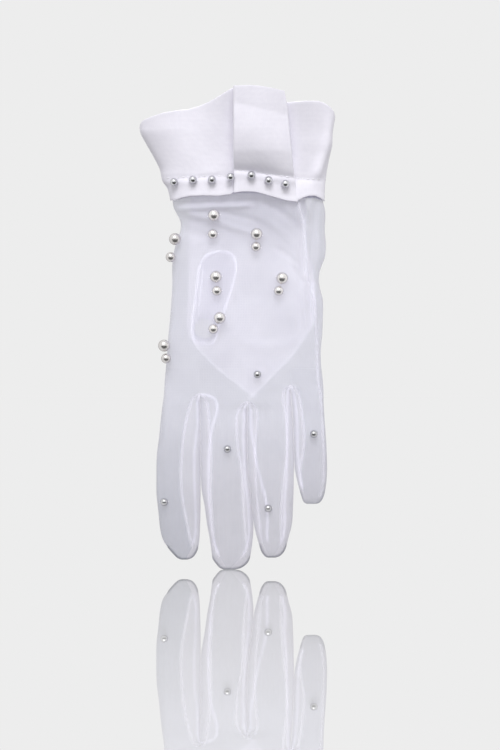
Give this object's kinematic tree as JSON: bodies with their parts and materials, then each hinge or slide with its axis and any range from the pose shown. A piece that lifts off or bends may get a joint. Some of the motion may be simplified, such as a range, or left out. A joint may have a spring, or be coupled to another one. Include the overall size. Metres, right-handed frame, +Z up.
{
  "type": "bridal glove",
  "caption": "Sheer net bridal glove for the left hand with a flared satin cuff, a box pleat and sewn-on pearls; hollow to wear, with fingers that curl and a thumb that unfolds.",
  "frame": {"origin": "centre of the wrist, on the line where the cuff is sewn to the net", "axes": "+Z up towards the forearm with the fingertips down, +Y out of the palm, -Y out of the back of the hand, +X from the index side to the little-finger side"},
  "size_m": [0.0988, 0.0392, 0.2423],
  "materials": {
    "satin": "satin",
    "thread": "satin",
    "net": "satin",
    "lining_net": "satin",
    "fourchette_net": "satin",
    "seam": "satin",
    "pearl_white": "gloss",
    "pearl_silver": "gloss"
  },
  "bodies": {
    "hand": {"hand_net": "net", "palm_lining": "lining_net", "lining_seam": "seam", "hand_side_seam": "seam", "thumb_seam": "seam", "cuff_left_panel": "satin", "cuff_pleat_flap": "satin", "cuff_right_panel": "satin", "cuff_back_panel": "satin", "wrist_stitching": "thread", "wrist_row_pearls": "pearl_silver", "large_pearls": "pearl_white", "small_pearls": "pearl_white", "hand_single_pearl": "pearl_silver", "pearl_threads": "thread"},
    "thumb": {"thumb_net": "net"},
    "index_finger": {"index_net": "net", "index_fourchette": "fourchette_net", "index_seams": "seam", "index_pearl": "pearl_silver"},
    "middle_finger": {"middle_net": "net", "middle_fourchette_index_side": "fourchette_net", "middle_fourchette_ring_side": "fourchette_net", "middle_seams": "seam", "middle_pearl": "pearl_silver"},
    "ring_finger": {"ring_net": "net", "ring_fourchette_middle_side": "fourchette_net", "ring_fourchette_little_side": "fourchette_net", "ring_seams": "seam", "ring_pearl": "pearl_silver"},
    "little_finger": {"little_net": "net", "little_fourchette": "fourchette_net", "little_seams": "seam", "little_pearl": "pearl_silver"}
  },
  "joints": [
    {"name": "index_flex", "type": "hinge", "parent": "hand", "child": "index_finger", "pos_m": [-0.032, 0.0066, -0.1083], "axis": [1, 0, 0], "range_deg": [0, 85]},
    {"name": "middle_flex", "type": "hinge", "parent": "hand", "child": "middle_finger", "pos_m": [-0.009, 0.0067, -0.1113], "axis": [1, 0, 0], "range_deg": [0, 85]},
    {"name": "ring_flex", "type": "hinge", "parent": "hand", "child": "ring_finger", "pos_m": [0.014, 0.0064, -0.1113], "axis": [1, 0, 0], "range_deg": [0, 85]},
    {"name": "little_flex", "type": "hinge", "parent": "hand", "child": "little_finger", "pos_m": [0.033, 0.006, -0.1033], "axis": [1, 0, 0], "range_deg": [0, 85]},
    {"name": "thumb_swing", "type": "hinge", "parent": "hand", "child": "thumb", "pos_m": [-0.0195, 0.015, -0.074], "axis": [0, -1, 0], "range_deg": [0, 105]}
  ]
}
